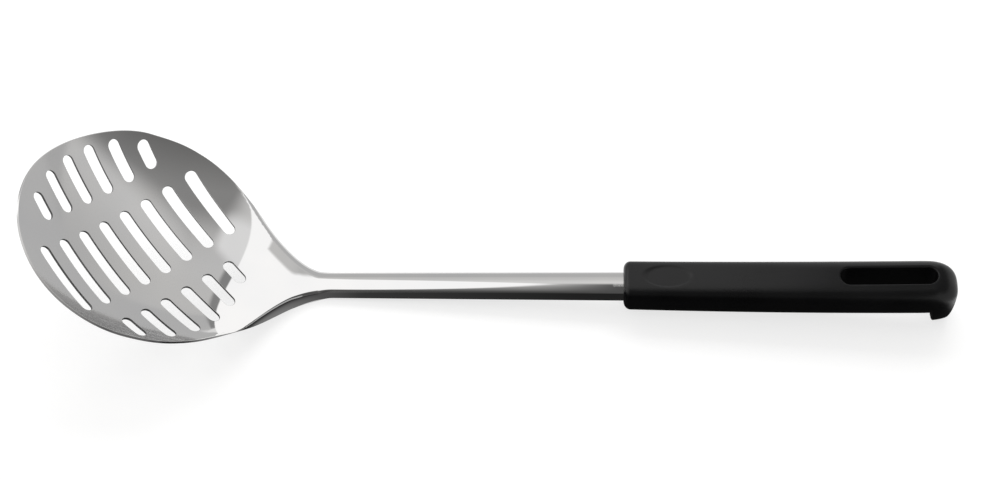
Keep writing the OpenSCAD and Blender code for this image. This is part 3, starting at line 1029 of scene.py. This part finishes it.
def zone_level(tree, x, levels):
    """A zone's level, which goes from one to the next along x where more are given."""
    level = levels[0][1]
    for (x0, _), (x1, after) in zip(levels[:-1], levels[1:]):
        share = ranged(tree, x, x0 * MM, x1 * MM, 0.0, 1.0)
        level = blended(tree, share, level, after)
    return level


def reflected_card(name, corners, zones):
    """A card that only reflections show. Each zone has its levels and its sides, which are soft.

    A level is given with the x where it holds. A side is (x0, y0, x1, y1, softness) in mm with
    the zone on its left, and sides listed together meet in a corner that points into the zone.
    """
    mesh = bpy.data.meshes.new(name)
    mesh.from_pydata((np.array(corners) * MM).tolist(), [], [(0, 1, 2, 3)])
    material = bpy.data.materials.new(name)
    material.use_nodes = True
    tree = material.node_tree
    tree.nodes.clear()
    x, y = object_axes(tree)[:2]
    shade = tree.nodes.new("ShaderNodeBsdfTransparent").outputs[0]
    for levels, sides in zones:
        level = zone_level(tree, x, levels)
        glow = add_node(tree, "ShaderNodeEmission", {"Color": WHITE, "Strength": level}).outputs[0]
        mask = zone_mask(tree, x, y, sides)
        shade = add_node(tree, "ShaderNodeMixShader", {0: mask, 1: shade, 2: glow}).outputs[0]
    add_node(tree, "ShaderNodeOutputMaterial", {"Surface": shade})
    mesh.materials.append(material)
    card = add_object(name, mesh)
    card.visible_camera = False
    card.visible_diffuse = False
    card.visible_shadow = False


def level_corners(x0, y0, x1, y1, z):
    return [(x0, y0, z), (x1, y0, z), (x1, y1, z), (x0, y1, z)]


def card_over_neck():
    """A lit card close over neck and shank, with a pale patch and a dark edge on its bowl side."""
    dark_edge = [
        [(-86, 27, -93, 14, 1.0)],
        [(-92.5, 14, -100, -3, 1.0)],
        [(-100, -3, -106, -50, 1.0)],
        [(-103, -50, -80, -50, 3.0)],
        [(-80, -50, -80, 12, 2.0)],
        [(-80, 12, -100, 12, 3.0)],
    ]
    pale_patch = [
        [(-86, 26, -96, 23, 2.0)],
        [(-95, 26, -101, 12, 2.6)],
        [(-101, 16, -88, 10, 2.2)],
        [(-80, 13, -80, 25, 1.0)],
    ]
    lit = [
        [(-81.3, 32, -88.3, 15, 0.35)],
        [(-88.3, 15, -95, 0, 0.35)],
        [(-95, 0, -99, -60, 0.8)],
        [(-99, -60, -50, -60, 8.0)],
        [(-50, -54, 16, -7, 4.0)],
        [(16, -4, -66, 14.6, 1.2), (-66, 14.4, -77.3, 22.6, 0.9), (-78.2, 21.5, -75.2, 28, 0.6)],
        [(0, 38, -100, 38, 3.0)],
    ]
    zones = [([(0, 0.36)], dark_edge), ([(0, 1.13)], pale_patch), ([(0, 1.56)], lit)]
    reflected_card("lit card", level_corners(-115, -80, 40, 45, LIT_CARD_Z), zones)


def dark_card_in_front():
    """A dark card over the floor in front, which rises a little away from the spoon."""
    levels = [(-85, 0.38), (-64, 0.13), (-50, 0.06), (30, 0.025)]
    sides = [
        [(-200, -860, 320, -860, 8.0)],
        [(320, -860, 175, 6, 4.0)],
        [(175, 6, -200, 6, 1.5)],
        [(-200, 6, -200, -860, 8.0)],
    ]
    corners = [(-260, -900, 29), (400, -900, 29), (400, 7, 0.3), (-260, 7, 0.3)]
    reflected_card("dark card", corners, [(levels, sides)])


def grey_card_on_right():
    sides = [[(0, -230, 400, -230, 10.0)], [(400, 230, 0, 230, 10.0)]]
    corners = [(187, -240, 0), (187, 240, 0), (187, 240, 140), (187, -240, 140)]
    reflected_card("grey card", corners, [([(0, 0.62)], sides)])


def grey_card_behind():
    sides = [[(-300, 0, -300, -400, 10.0)], [(300, -400, 300, 0, 10.0)]]
    corners = [(-320, 60, 0), (320, 60, 0), (320, 60, 64), (-320, 60, 64)]
    reflected_card("low wall", corners, [([(0, 0.70)], sides)])


def shade_over_handle_end():
    sides = [[(114, 100, 114, -30, 34.0)], [(0, -14, 260, -14, 6.0)], [(260, 80, 0, 80, 12.0)]]
    reflected_card("shade", level_corners(40, -30, 260, 100, SHADE_Z), [([(0, 0.24)], sides)])


def shade_in_front_of_handle():
    sides = [[(400, -9, 0, -9, 9.0)], [(24, 0, 24, -900, 24.0)], [(0, -860, 400, -860, 20.0)]]
    reflected_card("front shade", level_corners(-20, -900, 400, 10, SHADE_Z), [([(0, 0.12)], sides)])


def shade_beside_handle_end():
    """A dark card past the rear end, which darkens the top behind the hanging slot."""
    sides = [[(0, -30, 400, -30, 8.0)], [(400, 50, 0, 50, 8.0)]]
    corners = [(180, -40, 31), (180, 60, 31), (180, 60, 88), (180, -40, 88)]
    reflected_card("rear shade", corners, [([(0, 0.16)], sides)])


def key_light():
    """A broad lamp behind the spoon, which the floor's shadow comes from."""
    lamp = bpy.data.lights.new("key", "AREA")
    lamp.shape = "RECTANGLE"
    lamp.size, lamp.size_y = KEY_SIZE
    lamp.energy = KEY_POWER
    key = add_object("key", lamp)
    key.location = KEY_AT
    key.rotation_euler = Vector(KEY_AT).to_track_quat("Z", "Y").to_euler()
    key.visible_glossy = False
    key.visible_camera = False


# Pieces and stage
steel = spoon_sheet()
steel.data.materials.append(polished_steel())
steel.data.materials.append(punched_edge_painted_shade())
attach(steel, "root")
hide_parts("steel_spoon")

grip = moulded_handle()
grip.data.materials.append(black_handle())
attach(grip, "root")
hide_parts("handle")

floor = white_table()
set_camera()

studio_world()
card_over_neck()
dark_card_in_front()
grey_card_on_right()
grey_card_behind()
shade_over_handle_end()
shade_in_front_of_handle()
shade_beside_handle_end()
key_light()
bpy.context.scene.view_settings.view_transform = "Standard"
